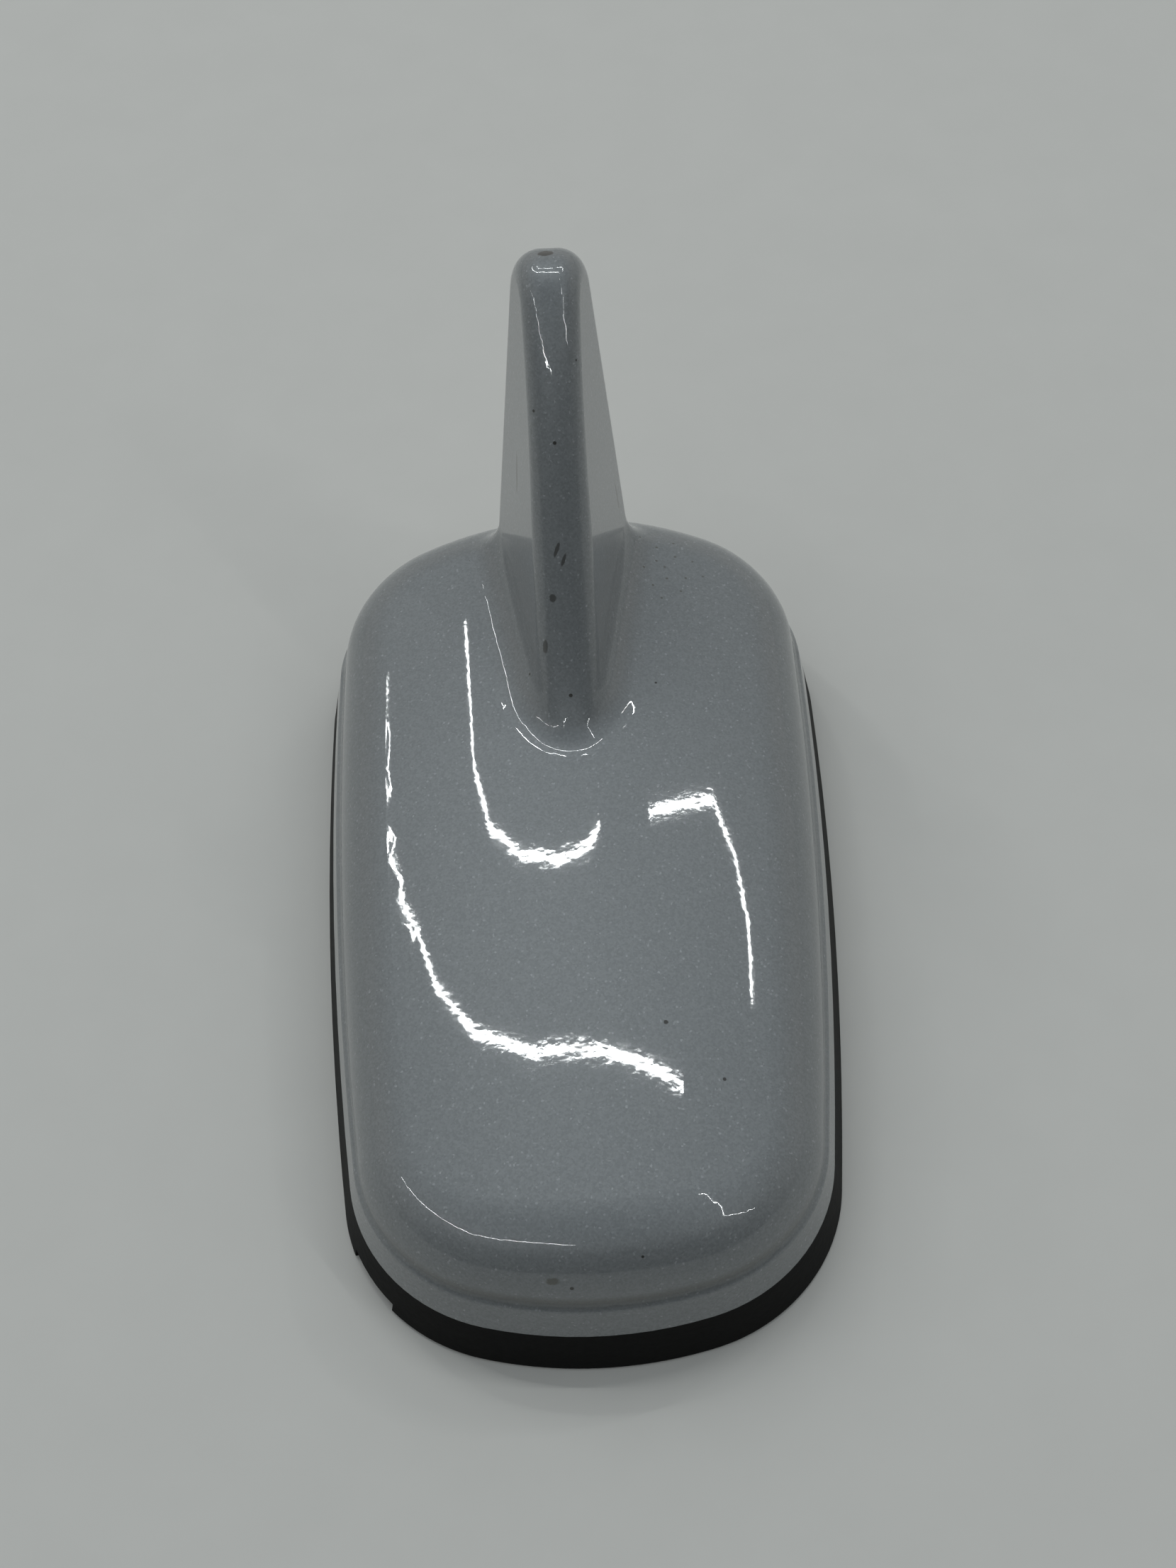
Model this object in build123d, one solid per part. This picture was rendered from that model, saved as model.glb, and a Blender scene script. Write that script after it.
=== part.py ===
from build123d import *
import os
from math import atan2, degrees, radians, tan

# Plan of the cover's foot, before its four corners are rounded
cover_length = 122.6
front_width = 57.9
rear_width = 67.2
front_bow = 8.5
side_bow = 2.25
rear_bow = 10.1
front_corner_radius = 22.5
rear_corner_radius = 20.0

# Roof of the cover, as heights above the panel the aerial stands on
roof_front = 21.0
roof_middle = 26.6
roof_rear = 27.6
crown_radius = 80.0
crown_angle = 80.0

# Cover shell
wall = 2.4
wall_draft = 11.0
shoulder_radius = 10.0
lip_height = 5.0
lip_step = 0.5
lip_slope = 1.0
lip_round = 0.8
crease_radius = 1.4

# Fin of the cover
fin_height = 79.8
fin_nose_y = 8.5
fin_tail_foot_y = 49.5
fin_tail_top_y = 62.5
fin_toe_run = 16.0
fin_toe_rise = 3.0
fin_toe_sink = 2.0
fin_brow_run = 23.0
fin_brow_drop = 3.0
fin_nose_half = 2.6
fin_flare = 0.172
fin_draft = 0.136
fin_round = 3.6
fin_tip_radius = 6.5
fin_foot_radius = 6.0
fin_root_depth = 12.0
nose_stations = 6

# Gasket
gasket_height = 7.0
gasket_flare = 1.4
gasket_flange = 7.0
gasket_round = 0.5
groove_outer = 1.2
groove_inner = 4.6
groove_depth = 0.8
tear_position = 0.265
tear_length = 9.0
tear_depth = 2.2
tear_height = 1.9

# Base plate
plate_thickness = 3.4
plate_edge = 3.2
rim_height = 3.0
rim_thickness = 1.8
post_height = 6.0
post_radius = 2.8
rib_thickness = 1.6
rib_height = 3.0
key_size = 18.0
key_recess = 0.6
boss_radius = 8.5
boss_roof = 1.5

# Clearances
press_gap = 0.02
thread_gap = 0.05
slip_gap = 0.3
stand_off = 1.2

# Threaded bush for the roof bolt
bush_y = 18.0
bush_radius = 6.0
bush_bore_radius = 3.4
bush_length = 9.9

# Foam seal round the roof hole
seal_width = 3.2
seal_margin = 2.0
seal_corner = 7.0
seal_recess = 0.3

# Screws that hold the plate to the cover
cover_screw_front = (17.0, -38.0)
cover_screw_rear = (21.0, 44.0)
cover_boss_radius = 3.4
cover_screw_radius = 1.4
cover_screw_reach = 9.0
cover_head_radius = 2.7
cover_head_height = 1.8
counterbore_depth = 1.6
slot_width = 0.8
slot_depth = 0.9

# Main board and its screws
board_side = 7.5
board_front_y = -34.0
board_rear_y = 40.0
board_thickness = 1.6
board_corner = 3.0
board_screw_inset = 3.5
board_screw_radius = 1.2
board_screw_reach = 4.5
board_head_radius = 2.2
board_head_height = 1.4

# Patch antenna and amplifier
patch_y = -20.0
patch_size = 25.0
patch_height = 4.0
tape_thickness = 0.5
tape_margin = 0.5
electrode_margin = 2.5
electrode_thickness = 0.1
feed_offset = 2.0
feed_radius = 0.4
feed_head_radius = 0.9
feed_head_height = 0.25
feed_tail = 0.8
can_gap = 0.7
can_length = 22.0
can_height = 3.2
can_sheet = 0.3
chip_size = 5.0
chip_height = 1.0
filter_size = 3.8
filter_height = 1.4
chip_spacing = 7.5

# Upright board in the fin
fin_board_thickness = 1.2
fin_board_front_y = 24.0
fin_board_rear_y = 38.0
tab_width = 4.0
copper_thickness = 0.15
copper_margin = 2.0
feed_strip_width = 3.0
copper_slot_width = 1.5
copper_slot_tip_y = 43.0

# Sockets for the two leads
socket_x = 7.5
socket_y = 2.0
socket_size = 10.4
socket_corner = 1.5
socket_recess = 1.0
socket_bore_radius = 4.3
socket_depth = 8.5
key_slot_width = 1.6
key_slot_depth = 0.6
sleeve_radius = 2.2
sleeve_thickness = 0.4
sleeve_recess = 2.0
insulator_recess = 4.5
pin_radius = 0.45
pin_recess = 3.0
pin_tail = 0.8

# Levels that follow from the sizes above
joint = gasket_height
plate_bottom = joint - plate_thickness
lip_top = joint + lip_height
lip_lean = lip_height * tan(radians(wall_draft))
slope_top = lip_top + lip_slope
board_bottom = joint + post_height
board_top = board_bottom + board_thickness
patch_bottom = board_top + tape_thickness
patch_top = patch_bottom + patch_height
can_bottom = board_bottom - can_height
bush_top = key_recess + bush_length
boss_top = bush_top + boss_roof
board_width = patch_size + 2 * board_side
board_length = board_rear_y - board_front_y
board_middle_y = (board_rear_y + board_front_y) / 2
feed_y = patch_y - feed_offset
tape_size = patch_size - 2 * tape_margin
electrode_size = patch_size - 2 * electrode_margin
can_width = board_width - 2 * (board_screw_inset + post_radius + can_gap)
cover_screw_spots = [
    (side * x, y) for x, y in (cover_screw_front, cover_screw_rear) for side in (-1, 1)
]
board_screw_spots = [
    (side * (board_width / 2 - board_screw_inset), y)
    for y in (board_front_y + board_screw_inset, board_rear_y - board_screw_inset)
    for side in (-1, 1)
]
socket_spots = [(-socket_x, socket_y), (socket_x, socket_y)]


def bowed_side(start, end, bow, grow):
    """Field bounded on one side by an arc through two points with a given bow, grown by an amount."""
    run = Vector(*end) - Vector(*start)
    outward = Vector(run.Y, -run.X).normalized()
    radius = (run.length**2 / 4 + bow**2) / (2 * bow)
    middle = (Vector(*start) + Vector(*end)) / 2
    centre = middle + outward * (bow - radius)
    field = Circle(radius + grow) + Pos(0, cover_length) * Rectangle(2 * (radius + grow), 2 * cover_length)
    return Pos(centre.X, centre.Y) * Rot(0, 0, degrees(atan2(run.Y, run.X))) * field


def outline(grow):
    """Plan of the cover's foot, moved outward by grow: four bowed sides with rounded corners."""
    front = -cover_length / 2 + front_bow
    rear = cover_length / 2 - rear_bow
    front_left = (-front_width / 2, front)
    front_right = (front_width / 2, front)
    rear_right = (rear_width / 2, rear)
    rear_left = (-rear_width / 2, rear)
    plan = bowed_side(front_left, front_right, front_bow, grow)
    plan = plan & bowed_side(front_right, rear_right, side_bow, grow)
    plan = plan & bowed_side(rear_right, rear_left, rear_bow, grow)
    plan = plan & bowed_side(rear_left, front_left, side_bow, grow)
    plan = fillet(plan.vertices().sort_by(Axis.Y)[:2], front_corner_radius + grow)
    return fillet(plan.vertices().sort_by(Axis.Y)[-2:], rear_corner_radius + grow)


def slab(grow, bottom, top):
    """Upright slab on the cover's plan."""
    return extrude(Pos(0, 0, bottom) * outline(grow), top - bottom)


def drafted(lower_grow, upper_grow, bottom, top):
    """Block on the cover's plan whose sides lean evenly."""
    lower = Pos(0, 0, bottom) * outline(lower_grow)
    upper = Pos(0, 0, top) * outline(upper_grow)
    return loft([lower.face(), upper.face()], ruled=True)


def pod_grow(inset, height):
    """How far the pod's wall stands outside the foot's plan at a height."""
    return (joint - height) * tan(radians(wall_draft)) - lip_step - inset


def crown(drop):
    """Block under the roof: an arc along the car, turned about an axis far below."""
    axis_height = roof_middle - crown_radius
    end = cover_length / 2
    ridge = ThreePointArc((-end, roof_front - drop), (0, roof_middle - drop), (end, roof_rear - drop))
    rest = Polyline(ridge @ 1, (end, axis_height), (-end, axis_height), ridge @ 0)
    section = Plane.YZ * make_face([ridge, rest])
    axis = Axis((0, 0, axis_height), (0, 1, 0))
    return revolve(section.rotate(axis, -crown_angle / 2), axis, crown_angle)


def pod(inset, bottom):
    """Pillow-shaped body of the cover, or its hollow when inset by the wall."""
    top = roof_rear + fin_root_depth
    walls = drafted(pod_grow(inset, bottom), pod_grow(inset, top), bottom, top)
    body = walls & crown(inset)
    rim = body.faces().sort_by(Axis.Z)[-1].edges()
    return fillet(rim, shoulder_radius - inset)


def fin_profile(inset):
    """Side view of the fin: swept nose, rounded tip and upright tail."""
    root = roof_middle - fin_root_depth
    nose = Bezier(
        (fin_nose_y, roof_middle - fin_toe_sink),
        (fin_nose_y + fin_toe_run, roof_middle + fin_toe_rise),
        (fin_tail_top_y - fin_brow_run, fin_height - fin_brow_drop),
        (fin_tail_top_y, fin_height),
    )
    if inset != 0:
        inner = []
        for station in range(nose_stations + 1):
            share = station / nose_stations
            run = nose % share
            inner.append(nose @ share + inset * Vector(run.Y, -run.X))
        nose = Spline(*inner)
    start = nose @ 0
    finish = nose @ 1
    rest = Polyline(finish, (finish.X, root), (start.X, root), start)
    ahead = Polygon(
        (start.X, root),
        (fin_tail_foot_y - inset, root),
        (fin_tail_top_y - inset, fin_height),
        (start.X, fin_height),
        align=None,
    )
    side = (Sketch() + make_face([nose, rest])) & ahead
    side = fillet(side.vertices().sort_by(Axis.Y)[-1], max(fin_tip_radius - inset, fin_foot_radius / 2))
    return Plane.YZ * side


def fin(inset):
    """Fin between two leaning planes that spread toward the tail."""
    body = extrude(fin_profile(inset), front_width / 2, both=True)
    for side in (-1, 1):
        spot = (side * (fin_nose_half - inset), fin_nose_y, roof_middle)
        flank = Plane(origin=spot, z_dir=(side, -fin_flare, fin_draft))
        body = split(body, bisect_by=flank, keep=Keep.BOTTOM)
    return body


def disc(spot, radius, bottom, top):
    """Round bar standing on a spot of the plan."""
    return extrude(Pos(spot[0], spot[1], bottom) * Circle(radius), top - bottom)


def block(spot, width, length, bottom, top, corner=0):
    """Rectangular bar standing on a spot of the plan."""
    plan = RectangleRounded(width, length, corner) if corner else Rectangle(width, length)
    return extrude(Pos(spot[0], spot[1], bottom) * plan, top - bottom)


def screw_slot(spot, height):
    """Cross recess in a screw head, cut upward from a height."""
    reach = 2 * cover_head_radius - 2 * slot_width
    wide = block(spot, reach, slot_width, height, height + slot_depth)
    long = block(spot, slot_width, reach, height, height + slot_depth)
    return wide + long


# Cover: pod and fin in one moulding, the fin blended into the roof
fin_body = fin(0)
fin_rims = [
    edge
    for edge in fin_body.edges()
    if abs(edge.center().X) > press_gap and edge.bounding_box().max.Z > roof_middle
]
fin_body = fillet(fin_rims, fin_round)
pod_body = pod(0, joint)
cover = pod_body + fin_body
cover = fillet(new_edges(pod_body, fin_body, combined=cover), fin_foot_radius)

# The lip round the foot, parted from the pod by a rounded crease
lip = drafted(0, -lip_lean, joint, lip_top)
lip = lip + drafted(-lip_lean, pod_grow(crease_radius, slope_top), lip_top, slope_top)
lip = fillet(lip.edges().filter_by_position(Axis.Z, lip_top, lip_top), lip_round)
lipped = cover + lip
outer = fillet(new_edges(cover, lip, combined=lipped), crease_radius)

# Hollow of the cover, then the screw bosses that hang from its roof
hollow = pod(wall, plate_bottom) + fin(wall)
fin_cover = outer - hollow
for spot in cover_screw_spots:
    boss = disc(spot, cover_boss_radius, joint, roof_rear) & outer
    fin_cover = fin_cover + boss
for spot in cover_screw_spots:
    pilot_top = joint + cover_screw_reach + slip_gap
    fin_cover = fin_cover - disc(spot, cover_screw_radius + thread_gap, joint, pilot_top)

# Gasket: leaning band with an inward flange that carries the plate
base_gasket = drafted(gasket_flare, 0, 0, joint)
base_gasket = fillet(base_gasket.faces().sort_by(Axis.Z)[0].edges(), gasket_round)
base_gasket = base_gasket - slab(-gasket_flange, 0, joint)
base_gasket = base_gasket - slab(-plate_edge, plate_bottom, joint)
groove = slab(-groove_outer, 0, groove_depth) - slab(-groove_inner, 0, groove_depth)
base_gasket = base_gasket - groove

# The torn bite at the front left corner of the gasket
foot_wire = outline(gasket_flare).face().outer_wire()
tear_spot = foot_wire.position_at(tear_position)
tear_run = foot_wire.tangent_at(tear_position)
tear_turn = degrees(atan2(tear_run.Y, tear_run.X))
tear = Pos(tear_spot.X, tear_spot.Y, 0) * Rot(0, 0, tear_turn) * Box(tear_length, 2 * tear_depth, 2 * tear_height)
base_gasket = base_gasket - tear

# Base plate: cast floor with a locating rim, posts, ribs and the bolt boss
base_plate = slab(-plate_edge - slip_gap, plate_bottom, joint)
rim_grow = pod_grow(wall, joint + rim_height) - slip_gap
rim_ring = slab(rim_grow, joint, joint + rim_height)
rim_ring = rim_ring - slab(rim_grow - rim_thickness, joint, joint + rim_height)
base_plate = base_plate + rim_ring
for spot in board_screw_spots:
    base_plate = base_plate + disc(spot, post_radius, joint, board_bottom)
for side in (-1, 1):
    rib_spot = (side * (board_width / 2 - board_screw_inset), board_middle_y)
    rib_length = board_length - 2 * board_screw_inset
    base_plate = base_plate + block(rib_spot, rib_thickness, rib_length, joint, joint + rib_height)
base_plate = base_plate + disc((0, bush_y), boss_radius, plate_bottom, boss_top)
base_plate = base_plate + block((0, bush_y), key_size, key_size, key_recess, plate_bottom)
base_plate = base_plate - disc((0, bush_y), bush_radius + press_gap, key_recess, bush_top)
window_width = 2 * socket_x + socket_size + 2 * slip_gap
window_length = socket_size + 2 * slip_gap
base_plate = base_plate - block((0, socket_y), window_width, window_length, plate_bottom, joint, socket_corner)
seat = plate_bottom + counterbore_depth
for spot in cover_screw_spots:
    base_plate = base_plate - disc(spot, cover_screw_radius + slip_gap, plate_bottom, joint)
    base_plate = base_plate - disc(spot, cover_head_radius + slip_gap, plate_bottom, seat)
for spot in board_screw_spots:
    tapped_bottom = board_bottom - board_screw_reach - slip_gap
    base_plate = base_plate - disc(spot, board_screw_radius + thread_gap, tapped_bottom, board_bottom)

# Threaded bush pressed into the boss
fixing_bush = disc((0, bush_y), bush_radius, key_recess, bush_top)
fixing_bush = fixing_bush - disc((0, bush_y), bush_bore_radius, key_recess, bush_top)

# Foam seal round the sockets and the bolt
seal_front = socket_y - window_length / 2 - seal_margin
seal_rear = bush_y + key_size / 2 + seal_margin
seal_middle = (0, (seal_front + seal_rear) / 2)
seal_inner_width = window_width + 2 * seal_margin
seal_inner_length = seal_rear - seal_front
inner_seal = block(
    seal_middle,
    seal_inner_width + 2 * seal_width,
    seal_inner_length + 2 * seal_width,
    seal_recess,
    plate_bottom,
    seal_corner,
)
inner_seal = inner_seal - block(
    seal_middle, seal_inner_width, seal_inner_length, seal_recess, plate_bottom, seal_corner - seal_width
)

# Screws from below into the cover's bosses
cover_screws = []
for spot in cover_screw_spots:
    head_bottom = seat - cover_head_height
    screw = disc(spot, cover_screw_radius, seat, joint + cover_screw_reach)
    screw = screw + disc(spot, cover_head_radius, head_bottom, seat)
    cover_screws.append(screw - screw_slot(spot, head_bottom))

# Main board with holes for its screws, the socket pins, the feed pin and the fin board's tabs
tab_spots = [(0, fin_board_front_y + tab_width), (0, fin_board_rear_y - tab_width)]
main_board = block((0, board_middle_y), board_width, board_length, board_bottom, board_top, board_corner)
for spot in board_screw_spots:
    main_board = main_board - disc(spot, board_screw_radius + slip_gap, board_bottom, board_top)
for spot in socket_spots:
    main_board = main_board - disc(spot, pin_radius + thread_gap, board_bottom, board_top)
main_board = main_board - disc((0, feed_y), feed_radius + thread_gap, board_bottom, board_top)
tab_slot_width = fin_board_thickness + 2 * thread_gap
tab_slot_length = tab_width + 2 * thread_gap
for spot in tab_spots:
    main_board = main_board - block(spot, tab_slot_width, tab_slot_length, board_bottom, board_top)

# Screws that hold the board to the posts
board_screws = []
for spot in board_screw_spots:
    head_top = board_top + board_head_height
    screw = disc(spot, board_screw_radius, board_bottom - board_screw_reach, board_top)
    screw = screw + disc(spot, board_head_radius, board_top, head_top)
    board_screws.append(screw - screw_slot(spot, head_top - slot_depth))

# Patch antenna: tape, ceramic, electrode and feed pin
feed_hole = disc((0, feed_y), feed_radius + thread_gap, board_top, patch_top + electrode_thickness)
patch_tape = block((0, patch_y), tape_size, tape_size, board_top, patch_bottom) - feed_hole
patch_ceramic = block((0, patch_y), patch_size, patch_size, patch_bottom, patch_top) - feed_hole
electrode_top = patch_top + electrode_thickness
patch_electrode = block((0, patch_y), electrode_size, electrode_size, patch_top, electrode_top) - feed_hole
patch_feed_pin = disc((0, feed_y), feed_radius, board_bottom - feed_tail, electrode_top)
patch_feed_pin = patch_feed_pin + disc(
    (0, feed_y), feed_head_radius, electrode_top, electrode_top + feed_head_height
)

# Screen over the amplifier, under the board
shield_can = block((0, patch_y), can_width, can_length, can_bottom, board_bottom)
shield_can = shield_can - block(
    (0, patch_y), can_width - 2 * can_sheet, can_length - 2 * can_sheet, can_bottom + can_sheet, board_bottom
)

# Amplifier and the two filters beside it
amplifier_chips = [
    block((0, patch_y + chip_size), chip_size, chip_size, board_bottom - chip_height, board_bottom)
]
for side in (-1, 1):
    filter_spot = (side * chip_spacing, patch_y)
    amplifier_chips.append(block(filter_spot, filter_size, filter_size, board_bottom - filter_height, board_bottom))

# Upright board in the fin, with two tabs through the main board
upper = fin_profile(wall + stand_off)
foot_length = fin_board_rear_y - fin_board_front_y
foot_rise = roof_middle + stand_off - board_top
foot_plan = Pos((fin_board_front_y + fin_board_rear_y) / 2, board_top + foot_rise / 2) * Rectangle(
    foot_length, foot_rise
)
above_roof = Pos(0, roof_middle + fin_height / 2) * Rectangle(2 * cover_length, fin_height)
board_shape = (upper & (Plane.YZ * above_roof)) + (Plane.YZ * foot_plan)
fin_board = extrude(board_shape, fin_board_thickness / 2, both=True)
for spot in tab_spots:
    fin_board = fin_board + block(spot, fin_board_thickness, tab_width, board_bottom, board_top)

# Copper radiator on the right face of that board, slotted for its two bands
copper_upper = fin_profile(wall + stand_off + copper_margin)
copper_base = Pos(0, roof_middle + copper_margin + fin_height / 2) * Rectangle(2 * cover_length, fin_height)
strip_length = roof_middle + 2 * copper_margin - board_top
strip_spot = Pos(fin_board_front_y + tab_width + copper_margin, board_top + strip_length / 2)
copper_shape = (copper_upper & (Plane.YZ * copper_base)) + Plane.YZ * strip_spot * Rectangle(
    feed_strip_width, strip_length
)
slot_height = (roof_middle + fin_height) / 2
slot_length = fin_tail_top_y - copper_slot_tip_y
copper_slot = Pos(fin_tail_top_y - slot_length / 2, slot_height) * Rectangle(slot_length, copper_slot_width)
copper_shape = copper_shape - Plane.YZ * copper_slot
fin_radiator = Pos(fin_board_thickness / 2, 0, 0) * extrude(copper_shape, copper_thickness)

# Sockets for the two leads, hung from the board through the plate's window
socket_housings = []
socket_sleeves = []
socket_insulators = []
socket_pins = []
for spot in socket_spots:
    side = 1 if spot[0] > 0 else -1
    bore_top = socket_recess + socket_depth
    housing = block(spot, socket_size, socket_size, socket_recess, board_bottom, socket_corner)
    housing = housing - disc(spot, socket_bore_radius, socket_recess, bore_top)
    key_spot = (spot[0] + side * socket_bore_radius, spot[1])
    housing = housing - block(key_spot, 2 * key_slot_depth, key_slot_width, socket_recess, bore_top)
    housing = housing - disc(spot, sleeve_radius + press_gap, bore_top, board_bottom)
    socket_housings.append(housing)
    core_radius = sleeve_radius - sleeve_thickness
    sleeve = disc(spot, sleeve_radius, socket_recess + sleeve_recess, board_bottom)
    socket_sleeves.append(sleeve - disc(spot, core_radius, socket_recess + sleeve_recess, board_bottom))
    core = disc(spot, core_radius - press_gap, socket_recess + insulator_recess, board_bottom)
    core = core - disc(spot, pin_radius + press_gap, socket_recess + insulator_recess, board_bottom)
    socket_insulators.append(core)
    socket_pins.append(disc(spot, pin_radius, socket_recess + pin_recess, board_top + pin_tail))

# Every node goes to its own file
nodes = {
    "fin_cover": fin_cover,
    "base_gasket": base_gasket,
    "base_plate": base_plate,
    "fixing_bush": fixing_bush,
    "inner_seal": inner_seal,
    "cover_screws": Compound(cover_screws),
    "main_board": main_board,
    "board_screws": Compound(board_screws),
    "patch_tape": patch_tape,
    "patch_ceramic": patch_ceramic,
    "patch_electrode": patch_electrode,
    "patch_feed_pin": patch_feed_pin,
    "shield_can": shield_can,
    "amplifier_chips": Compound(amplifier_chips),
    "fin_board": fin_board,
    "fin_radiator": fin_radiator,
    "position_socket_housing": socket_housings[0],
    "phone_socket_housing": socket_housings[1],
    "socket_sleeves": Compound(socket_sleeves),
    "socket_insulators": Compound(socket_insulators),
    "socket_pins": Compound(socket_pins),
}
os.makedirs("parts", exist_ok=True)
for name, shape in nodes.items():
    export_step(shape, f"parts/{name}.step")
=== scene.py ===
from math import cos, pi, radians, sin

import bpy
from mathutils import Matrix, Vector


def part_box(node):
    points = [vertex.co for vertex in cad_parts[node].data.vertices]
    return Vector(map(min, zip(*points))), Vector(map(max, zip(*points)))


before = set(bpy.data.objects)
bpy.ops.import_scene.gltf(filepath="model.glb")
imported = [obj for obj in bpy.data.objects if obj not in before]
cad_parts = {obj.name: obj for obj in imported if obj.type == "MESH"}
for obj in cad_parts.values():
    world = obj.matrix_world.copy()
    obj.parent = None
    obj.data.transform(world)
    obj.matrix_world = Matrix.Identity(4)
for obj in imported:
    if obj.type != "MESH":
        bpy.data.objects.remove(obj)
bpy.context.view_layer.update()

# Base plate: zinc alloy floor of the aerial, pressure die-cast in one piece with its posts and boss.
# The casting skin is dull grey, faintly mottled where the metal chilled against the die.
MM = 0.001


def linear(colour):
    """Linear red, green, blue and alpha of an sRGB hex colour."""
    parts = [int(colour[i:i + 2], 16) / 255 for i in (1, 3, 5)]
    return [p / 12.92 if p <= 0.04045 else ((p + 0.055) / 1.055) ** 2.4 for p in parts] + [1.0]


def add(tree, kind, settings=(), links=()):
    """Adds a shader node, gives its fields and sockets their values and links its inputs.

    Sockets go by name, or by number where names repeat.
    A colour mix has its factor at 0 and its colours at 6 and 7.
    """
    node = tree.nodes.new(kind)
    for name, value in dict(settings).items():
        if isinstance(name, str) and hasattr(node, name):
            setattr(node, name, value)
        else:
            node.inputs[name].default_value = value
    for name, socket in dict(links).items():
        tree.links.new(socket, node.inputs[name])
    return node


def blank_material(name):
    """Empty material: its node tree and the object coordinates, which are metres in the frame."""
    material = bpy.data.materials.new(name)
    material.use_nodes = True
    tree = material.node_tree
    tree.nodes.clear()
    place = add(tree, "ShaderNodeTexCoord").outputs["Object"]
    return material, tree, place


grain_detail = 4.0
grain_roughness = 0.6


def surface(name, low, high, grain, depth, shader):
    """Material that drifts between two tones over a grain of a real size, with a bump of a real depth."""
    material, tree, place = blank_material(name)
    noise = add(
        tree,
        "ShaderNodeTexNoise",
        {"Scale": 1 / grain, "Detail": grain_detail, "Roughness": grain_roughness},
        {"Vector": place},
    )
    tone = add(
        tree,
        "ShaderNodeMix",
        {"data_type": "RGBA", 6: linear(low), 7: linear(high)},
        {0: noise.outputs["Fac"]},
    )
    bump = add(tree, "ShaderNodeBump", {"Distance": depth}, {"Height": noise.outputs["Fac"]})
    links = {"Base Color": tone.outputs[2], "Normal": bump.outputs["Normal"]}
    finish = add(tree, "ShaderNodeBsdfPrincipled", shader, links)
    add(tree, "ShaderNodeOutputMaterial", (), {"Surface": finish.outputs["BSDF"]})
    return material


def dress(material, *names):
    """Gives CAD nodes a material in place of their packed one."""
    for name in names:
        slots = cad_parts[name].data.materials
        slots.clear()
        slots.append(material)


cast_zinc = surface(
    "zinc_alloy_as_cast", "#84868a", "#a3a5a8", 2.5 * MM, 0.02 * MM, {"Metallic": 1.0, "Roughness": 0.48}
)
dress(cast_zinc, "base_plate")

# Fixing bush: turned steel bush, zinc plated, pressed into the boss of the plate.
# Bright blue-grey plating over fine turning marks.
plated_steel = surface(
    "zinc_plated_turned_steel",
    "#a9adb3",
    "#c3c6ca",
    0.4 * MM,
    0.004 * MM,
    {"Metallic": 1.0, "Roughness": 0.28},
)
dress(plated_steel, "fixing_bush")

# Inner seal: closed-cell foam ring glued under the plate, round the hole in the roof.
# Soft black foam with open pores on its cut faces.
foam = surface(
    "closed_cell_foam_cut", "#161616", "#2c2c2b", 0.35 * MM, 0.12 * MM, {"Roughness": 0.95, "IOR": 1.35}
)
dress(foam, "inner_seal")

# Sockets: injection-moulded nylon housings, one for each lead, coded by colour.
# Dry matt moulding with a fine spark-eroded texture.
blue_nylon = surface(
    "moulded_nylon_blue", "#1c3a78", "#23468c", 0.3 * MM, 0.01 * MM, {"Roughness": 0.5, "IOR": 1.53}
)
claret_nylon = surface(
    "moulded_nylon_claret", "#5d1622", "#6e1c2a", 0.3 * MM, 0.01 * MM, {"Roughness": 0.5, "IOR": 1.53}
)
dress(blue_nylon, "position_socket_housing")
dress(claret_nylon, "phone_socket_housing")

# Socket contacts: nickel-plated outer sleeves, white fluoropolymer insulators and gold-plated pins.
# Rolled and turned metal, so the plating is bright with faint drawing marks.
nickel = surface(
    "nickel_plated_brass", "#b7b2a6", "#cbc7bc", 0.3 * MM, 0.002 * MM, {"Metallic": 1.0, "Roughness": 0.22}
)
fluoropolymer = surface(
    "turned_fluoropolymer", "#e2e1dc", "#efeeea", 0.5 * MM, 0.004 * MM, {"Roughness": 0.42, "IOR": 1.35}
)
gold_plate = surface(
    "gold_plated_contact", "#d7ab52", "#e6c06c", 0.3 * MM, 0.002 * MM, {"Metallic": 1.0, "Roughness": 0.2}
)
dress(nickel, "socket_sleeves")
dress(fluoropolymer, "socket_insulators")
dress(gold_plate, "socket_pins")

# Main board: glass-epoxy laminate under green solder resist, with screws into the posts.
# The resist is glossy, and the glass weave under it shows as a faint even texture.
resist = surface(
    "solder_resist_on_laminate",
    "#14512f",
    "#1b6339",
    0.6 * MM,
    0.006 * MM,
    {"Roughness": 0.32, "IOR": 1.5, "Coat Weight": 0.4, "Coat Roughness": 0.1},
)
dress(resist, "main_board")
dress(plated_steel, "board_screws")

# Amplifier: black epoxy packages under a folded screen of tinned steel, soldered to the board.
# Epoxy is matt and slightly grainy; the tin is soft and bright with a frosty drift.
epoxy = surface(
    "moulded_epoxy_package", "#141415", "#1e1e1f", 0.2 * MM, 0.01 * MM, {"Roughness": 0.6, "IOR": 1.55}
)
tinned_sheet = surface(
    "tinned_steel_sheet", "#b3b5b4", "#c9cac8", 3.0 * MM, 0.006 * MM, {"Metallic": 1.0, "Roughness": 0.3}
)
dress(epoxy, "amplifier_chips")
dress(tinned_sheet, "shield_can")

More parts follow.
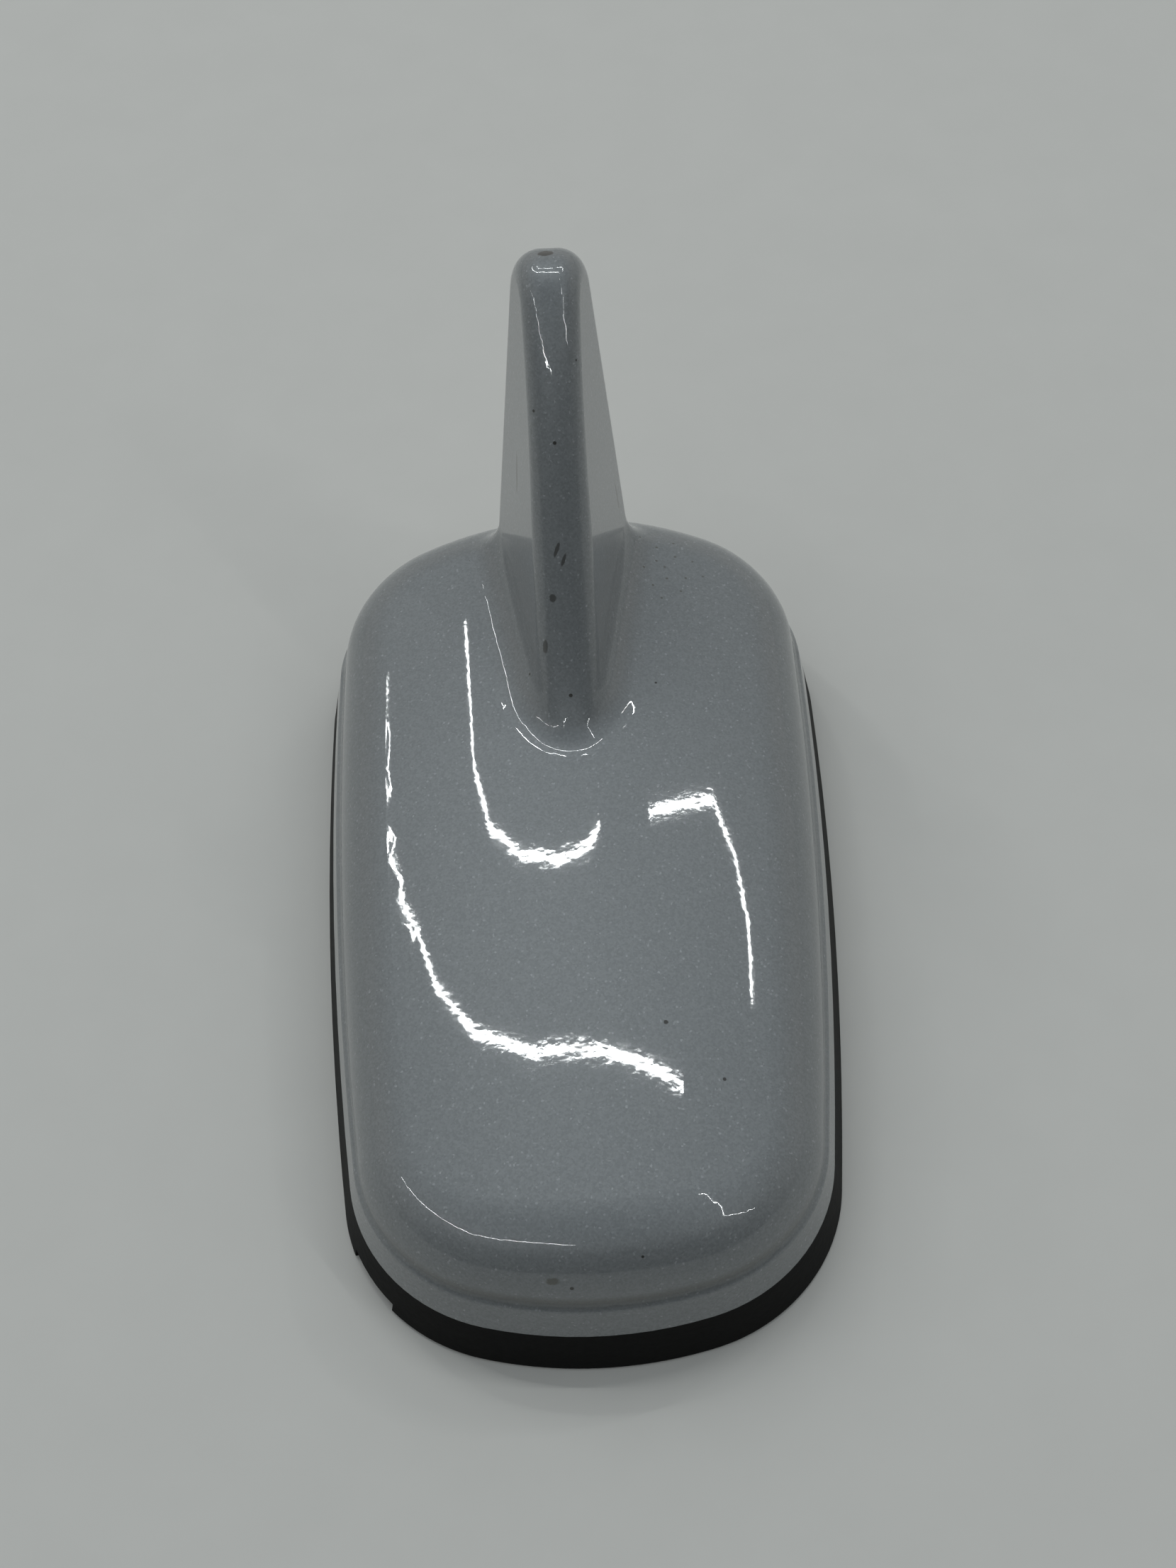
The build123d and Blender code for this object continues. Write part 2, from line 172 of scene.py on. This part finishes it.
# Patch antenna: adhesive pad, fired ceramic block, printed silver electrode and soldered feed pin.
# The ceramic is a warm off-white and the fired silver is dull white metal.
adhesive_pad = surface(
    "acrylic_foam_adhesive", "#d3d1c8", "#e0ded6", 0.5 * MM, 0.02 * MM, {"Roughness": 0.8, "IOR": 1.47}
)
fired_ceramic = surface(
    "fired_dielectric_ceramic", "#c9b28a", "#d8c29c", 0.8 * MM, 0.01 * MM, {"Roughness": 0.45, "IOR": 1.75}
)
fired_silver = surface(
    "fired_silver_print", "#c9c7c1", "#dcdad5", 0.25 * MM, 0.004 * MM, {"Metallic": 1.0, "Roughness": 0.42}
)
dress(adhesive_pad, "patch_tape")
dress(fired_ceramic, "patch_ceramic")
dress(fired_silver, "patch_electrode")
dress(tinned_sheet, "patch_feed_pin")

# Fin board: upright laminate board that carries the telephone antenna, tabbed into the main board.
# Its copper radiator is etched and left bright under a thin lacquer.
copper = surface(
    "etched_copper_lacquered", "#b5673f", "#c9794d", 0.8 * MM, 0.003 * MM, {"Metallic": 1.0, "Roughness": 0.3}
)
dress(resist, "fin_board")
dress(copper, "fin_radiator")

# Cover: pod and fin injection-moulded in one piece, sprayed silver grey and clear-coated.
# Aluminium flake sparkles under gloss lacquer, which has the fine ripple of spray paint; used, so it is
# chipped at the tip, scuffed on the nose and specked with dirt. The crease above the lip is darkened with
# painted shade, most towards the front.
cover_front = Vector(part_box("fin_cover")[0]).y
gasket_low, gasket_high = (Vector(corner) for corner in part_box("base_gasket"))
flake_size = 0.25 * MM  # real flake is about a tenth of this, drawn coarser so that it shows
ripple_size = 1.1 * MM
ripple_depth = 0.004 * MM
sparkling_from = 0.965  # share of the flakes that don't sparkle
sparkle_strength = 0.16
ragged_size = 0.5 * MM
mark_fall = 2.0
mark_edge_start = 1.5
mark_edge_end = 1.9
# Painted shade: a dark band along the crease above the lip, darker towards the front of the cover.
crease_height = gasket_high.z + 6.0 * MM
crease_reach = 1.3 * MM
crease_shade_far = cover_front + 18 * MM
crease_shade_near = cover_front + 2 * MM
crease_shade_least = 0.1
crease_shade_most = 0.6

silver_paint, paint_tree, paint_place = blank_material("silver_flake_paint_clear_coated")
flakes = add(paint_tree, "ShaderNodeTexVoronoi", {"Scale": 1 / flake_size}, {"Vector": paint_place})
flake_tone = add(paint_tree, "ShaderNodeSeparateColor", (), {"Color": flakes.outputs["Color"]})
paint_tone = add(
    paint_tree,
    "ShaderNodeMix",
    {"data_type": "RGBA", 6: linear("#717577"), 7: linear("#7e8284")},
    {0: flake_tone.outputs["Red"]},
)
sparkle = add(
    paint_tree,
    "ShaderNodeMapRange",
    {"From Min": sparkling_from, "From Max": 1.0, "To Max": sparkle_strength},
    {"Value": flake_tone.outputs["Green"]},
)
paint_tone = add(
    paint_tree,
    "ShaderNodeMix",
    {"data_type": "RGBA", 7: linear("#e6e9ec")},
    {0: sparkle.outputs["Result"], 6: paint_tone.outputs[2]},
)
ripple = add(
    paint_tree,
    "ShaderNodeTexNoise",
    {"Scale": 1 / ripple_size, "Detail": 2.0, "Roughness": 0.4},
    {"Vector": paint_place},
)
ripple_bump = add(
    paint_tree, "ShaderNodeBump", {"Distance": ripple_depth}, {"Height": ripple.outputs["Fac"]}
)
ragged = add(
    paint_tree, "ShaderNodeTexNoise", {"Scale": 1 / ragged_size, "Detail": 5.0}, {"Vector": paint_place}
)


def mark(place, half_size, turn=(0, 0, 0), solid=0.5):
    """Mask of one mark on the paint: a ragged patch of a half size in mm round a place in mm.

    Its turn is in degrees, and solid says how much of the patch is filled.
    """
    inside = add(
        paint_tree,
        "ShaderNodeMapping",
        {
            "vector_type": "TEXTURE",
            "Location": Vector(place) * MM,
            "Rotation": [radians(angle) for angle in turn],
            "Scale": Vector(half_size) * MM,
        },
        {"Vector": paint_place},
    )
    blob = add(
        paint_tree,
        "ShaderNodeTexGradient",
        {"gradient_type": "SPHERICAL"},
        {"Vector": inside.outputs["Vector"]},
    )
    edge = add(
        paint_tree,
        "ShaderNodeMath",
        {"operation": "MULTIPLY_ADD", 1: mark_fall},
        {0: blob.outputs["Fac"], 2: ragged.outputs["Fac"]},
    )
    mask = add(
        paint_tree,
        "ShaderNodeMapRange",
        {"From Min": mark_edge_start - solid, "From Max": mark_edge_end - solid},
        {"Value": edge.outputs["Value"]},
    )
    inner = add(
        paint_tree, "ShaderNodeMath", {"operation": "GREATER_THAN", 1: 0.0}, {0: blob.outputs["Fac"]}
    )
    both = add(
        paint_tree,
        "ShaderNodeMath",
        {"operation": "MULTIPLY"},
        {0: mask.outputs["Result"], 1: inner.outputs["Value"]},
    )
    return both.outputs["Value"]


def lay(tone, colour, masks):
    """Paint tone with a colour laid over it wherever one of the masks is set."""
    for mask in masks:
        coat = add(paint_tree, "ShaderNodeMix", {"data_type": "RGBA", 7: linear(colour)}, {0: mask, 6: tone})
        tone = coat.outputs[2]
    return tone


scuffs = [
    mark((-0.8, 29.2, 47.6), (0.35, 1.6, 1.9), (25, 0, -35)),
    mark((0.1, 28.5, 46.3), (0.3, 1.3, 1.7), (25, 0, -35)),
    mark((-1.6, 25.8, 42.0), (0.7, 0.7, 0.9)),
    mark((-2.9, 22.5, 36.2), (0.5, 1.0, 2.0)),
    mark((-5.6, 42.9, 47.8), (0.6, 0.9, 4.6), (-23, 0, 0)),
    mark((7.7, 47.1, 38.0), (1.0, 0.6, 3.6), (-10, -11, 0)),
]
specks = [
    mark(place, (radius, radius, radius), solid=1.0)
    for place, radius in (
        ((0.1, 17.8, 31.6), 0.28),
        ((-5.3, 23.3, 29.7), 0.2),
        ((11.6, 23.2, 26.6), 0.2),
        ((10.0, -28.1, 23.8), 0.36),
        ((16.7, -35.4, 22.0), 0.28),
        ((-2.8, 40.3, 61.7), 0.22),
        ((-0.3, 37.1, 59.0), 0.26),
        ((3.0, 44.2, 66.4), 0.2),
        ((-2.9, -58.9, 15.7), 0.28),
        ((5.6, -56.7, 18.8), 0.22),
    )
]
chips = [mark((-0.3, 55.3, 74.5), (1.2, 0.8, 0.8), solid=0.9)]
dirt = [mark((-5.1, -58.3, 16.6), (1.6, 1.0, 1.2), solid=0.1)]
spatter_centre = Vector((14.0, 44.0, 26.6))
spatter_spread = 1.5
spatter_count = 16
spatter_half_size = (0.24, 0.24, 2.5)
golden_angle = radians(137.5)
for step in range(spatter_count):
    reach = spatter_spread * step ** 0.5
    away = Vector((reach * cos(step * golden_angle), reach * sin(step * golden_angle), 0))
    dirt.append(mark(spatter_centre + away, spatter_half_size, solid=0.7))

place_axes = add(paint_tree, "ShaderNodeSeparateXYZ", (), {"Vector": paint_place})
crease_front = add(
    paint_tree,
    "ShaderNodeMapRange",
    {"From Min": crease_shade_far, "From Max": crease_shade_near, "To Min": crease_shade_least, "To Max": crease_shade_most},
    {"Value": place_axes.outputs["Y"]},
)
crease_off = add(
    paint_tree, "ShaderNodeMath", {"operation": "SUBTRACT", 1: crease_height}, {0: place_axes.outputs["Z"]}
)
crease_far = add(
    paint_tree, "ShaderNodeMath", {"operation": "ABSOLUTE"}, {0: crease_off.outputs["Value"]}
)
crease_soft = add(
    paint_tree,
    "ShaderNodeMapRange",
    {"interpolation_type": "SMOOTHSTEP", "From Min": crease_reach, "From Max": 0.0},
    {"Value": crease_far.outputs["Value"]},
)
# Mask of the painted shade in the crease: a band round the crease height, stronger towards the front.
crease_shade = add(
    paint_tree,
    "ShaderNodeMath",
    {"operation": "MULTIPLY"},
    {0: crease_soft.outputs["Result"], 1: crease_front.outputs["Result"]},
)
# The painted shade of the crease goes on first, under the real dirt, scuffs, specks and chips.
worn = lay(paint_tone.outputs[2], "#4a4a44", [crease_shade.outputs["Value"]])
worn = lay(worn, "#5a5b56", dirt)
worn = lay(worn, "#4b4c4b", scuffs)
worn = lay(worn, "#2e2d2a", specks)
worn = lay(worn, "#3f3d3b", chips)
paint_shader = add(
    paint_tree,
    "ShaderNodeBsdfPrincipled",
    {"Metallic": 0.25, "Roughness": 0.5, "Coat Weight": 1.0, "Coat Roughness": 0.03, "Coat IOR": 1.5},
    {
        "Base Color": worn,
        "Normal": ripple_bump.outputs["Normal"],
        "Coat Normal": ripple_bump.outputs["Normal"],
    },
)
add(paint_tree, "ShaderNodeOutputMaterial", (), {"Surface": paint_shader.outputs["BSDF"]})
dress(silver_paint, "fin_cover")

# Cover screws: cross-recessed steel screws from below, through the plate into the cover's bosses.
# They have the bright zinc plating of the bush.
dress(plated_steel, "cover_screws")

# Gasket: moulded black rubber band under the cover's rim, torn at one corner.
# Matt black rubber with a faint moulding grain and a little dust, so that it is nowhere quite even.
rubber = surface(
    "moulded_rubber_dusty",
    "#030303",
    "#131312",
    1.2 * MM,
    0.05 * MM,
    {"Roughness": 0.62, "IOR": 1.52, "Specular IOR Level": 0.12},
)
dress(rubber, "base_gasket")

# Floor: plain pale board that the part stands on, not part of the object.
# Painted, so it is matt and faintly uneven in tone.
floor_reach = 3.0
floor_drop = 0.02 * MM
bpy.ops.mesh.primitive_plane_add(size=2 * floor_reach, location=(0, 0, gasket_low.z - floor_drop))
floor = bpy.context.object
floor.name = "floor"
floor.data.materials.append(
    surface("pale_painted_board", "#c8c7c3", "#cdccc8", 12 * MM, 0.02 * MM, {"Roughness": 0.75})
)

# Studio light: a soft sky that is dim low in front, and thin tubes in straight lengths, in metres.
# Those overhead give the lines of light on the roof and shoulders, the two in front those on the fin's tip.
tube_height = 1.0
tube_width = 0.009
tube_radiance = 60.0
tube_colour = (0.97, 1.0, 1.0)
ceiling_runs = [
    [(-0.90, 1.03), (-0.86, 0.80), (-0.75, 0.62), (-0.59, 0.46), (-0.42, 0.37), (-0.2, 0.32), (0.34, 0.30)],
    [(-0.44, 0.90), (-0.40, 0.68), (-0.33, 0.58), (-0.22, 0.53), (-0.08, 0.51), (0.03, 0.52), (0.08, 0.55)],
    [(0.27, 0.58), (0.42, 0.62), (0.55, 0.66), (0.64, 0.61), (0.68, 0.54), (0.675, 0.45)],
]
front_tube_width = 0.003
front_tube_radiance = 80.0
front_runs = [
    [(-0.89, 0.05, 0.5), (-0.56, -0.55, 0.62), (-0.1, -0.76, 0.64)],
    [(0.4, 0.04, 0.95), (0.62, -0.47, 0.66), (0.83, -0.4, 0.42)],
]
tube_runs = []
for run in ceiling_runs:
    tube_runs.append(([Vector((*spot, tube_height)) for spot in run], tube_width, tube_radiance))
for run in front_runs:
    tube_runs.append(([Vector(spot) for spot in run], front_tube_width, front_tube_radiance))
for run, width, radiance in tube_runs:
    for start, end in zip(run, run[1:]):
        along = end - start
        middle = (start + end) / 2
        outward = (middle - along * middle.dot(along) / along.length_squared).normalized()
        axes = Matrix((along.normalized(), outward.cross(along.normalized()), outward)).transposed()
        tube = bpy.data.lights.new("tube", "AREA")
        tube.shape = "RECTANGLE"
        tube.size = along.length
        tube.size_y = width
        tube.color = tube_colour
        tube.energy = radiance * pi * along.length * width
        lamp = bpy.data.objects.new("tube", tube)
        lamp.matrix_world = Matrix.Translation(middle) @ axes.to_4x4()
        bpy.context.scene.collection.objects.link(lamp)

# Where the sky changes, as shares of the way back and of the way up
back_from, back_to = -0.6, 0.3
high_from, high_to = 0.4, 0.7
overhead_from, overhead_to = 0.2, 0.9
world = bpy.data.worlds.new("studio")
world.use_nodes = True
sky_tree = world.node_tree
sky_tree.nodes.clear()
sky_place = add(sky_tree, "ShaderNodeTexCoord").outputs["Generated"]
sky_axes = add(sky_tree, "ShaderNodeSeparateXYZ", (), {"Vector": sky_place})
behind = add(
    sky_tree,
    "ShaderNodeMapRange",
    {"interpolation_type": "SMOOTHSTEP", "From Min": back_from, "From Max": back_to},
    {"Value": sky_axes.outputs["Y"]},
)
high = add(
    sky_tree,
    "ShaderNodeMapRange",
    {"interpolation_type": "SMOOTHSTEP", "From Min": high_from, "From Max": high_to},
    {"Value": sky_axes.outputs["Z"]},
)
lit = add(
    sky_tree,
    "ShaderNodeMath",
    {"operation": "MAXIMUM"},
    {0: behind.outputs["Result"], 1: high.outputs["Result"]},
)
overhead = add(
    sky_tree,
    "ShaderNodeMapRange",
    {"interpolation_type": "SMOOTHSTEP", "From Min": overhead_from, "From Max": overhead_to},
    {"Value": sky_axes.outputs["Z"]},
)
sky_tone = add(
    sky_tree,
    "ShaderNodeMix",
    {"data_type": "RGBA", 6: linear("#b2b2af"), 7: linear("#8f979c")},
    {0: overhead.outputs["Result"]},
)
sky_tone = add(
    sky_tree,
    "ShaderNodeMix",
    {"data_type": "RGBA", 6: linear("#343536")},
    {0: lit.outputs["Value"], 7: sky_tone.outputs[2]},
)
ray = add(sky_tree, "ShaderNodeLightPath")
seen_tone = add(
    sky_tree,
    "ShaderNodeMix",
    {"data_type": "RGBA", 7: linear("#d3d3d0")},
    {0: ray.outputs["Is Camera Ray"], 6: sky_tone.outputs[2]},
)
sky = add(sky_tree, "ShaderNodeBackground", {"Strength": 1.0}, {"Color": seen_tone.outputs[2]})
add(sky_tree, "ShaderNodeOutputWorld", (), {"Surface": sky.outputs["Background"]})
bpy.context.scene.world = world

# Camera: where the photograph was taken from, in front of the nose and looking down on the roof.
# It is held a little askew, with the lens in mm for a 36 mm long side.
camera_place = Vector((0.0023, -0.1762, 0.2746))
camera_down = radians(53.57)
camera_turn = radians(-0.15)
camera_roll = radians(-2.89)
camera_lens = 54.1
ahead = Vector((sin(camera_turn) * cos(camera_down), cos(camera_turn) * cos(camera_down), -sin(camera_down)))
level = ahead.cross(Vector((0, 0, 1))).normalized()
upright = level.cross(ahead)
side_axis = cos(camera_roll) * level + sin(camera_roll) * upright
top_axis = cos(camera_roll) * upright - sin(camera_roll) * level
camera_data = bpy.data.cameras.new("camera")
camera_data.lens = camera_lens
camera_data.clip_start = 0.01
camera = bpy.data.objects.new("camera", camera_data)
camera_axes = Matrix((side_axis, top_axis, -ahead)).transposed()
camera.matrix_world = Matrix.Translation(camera_place) @ camera_axes.to_4x4()
bpy.context.scene.collection.objects.link(camera)
bpy.context.scene.camera = camera
bpy.context.scene.view_settings.view_transform = "Standard"
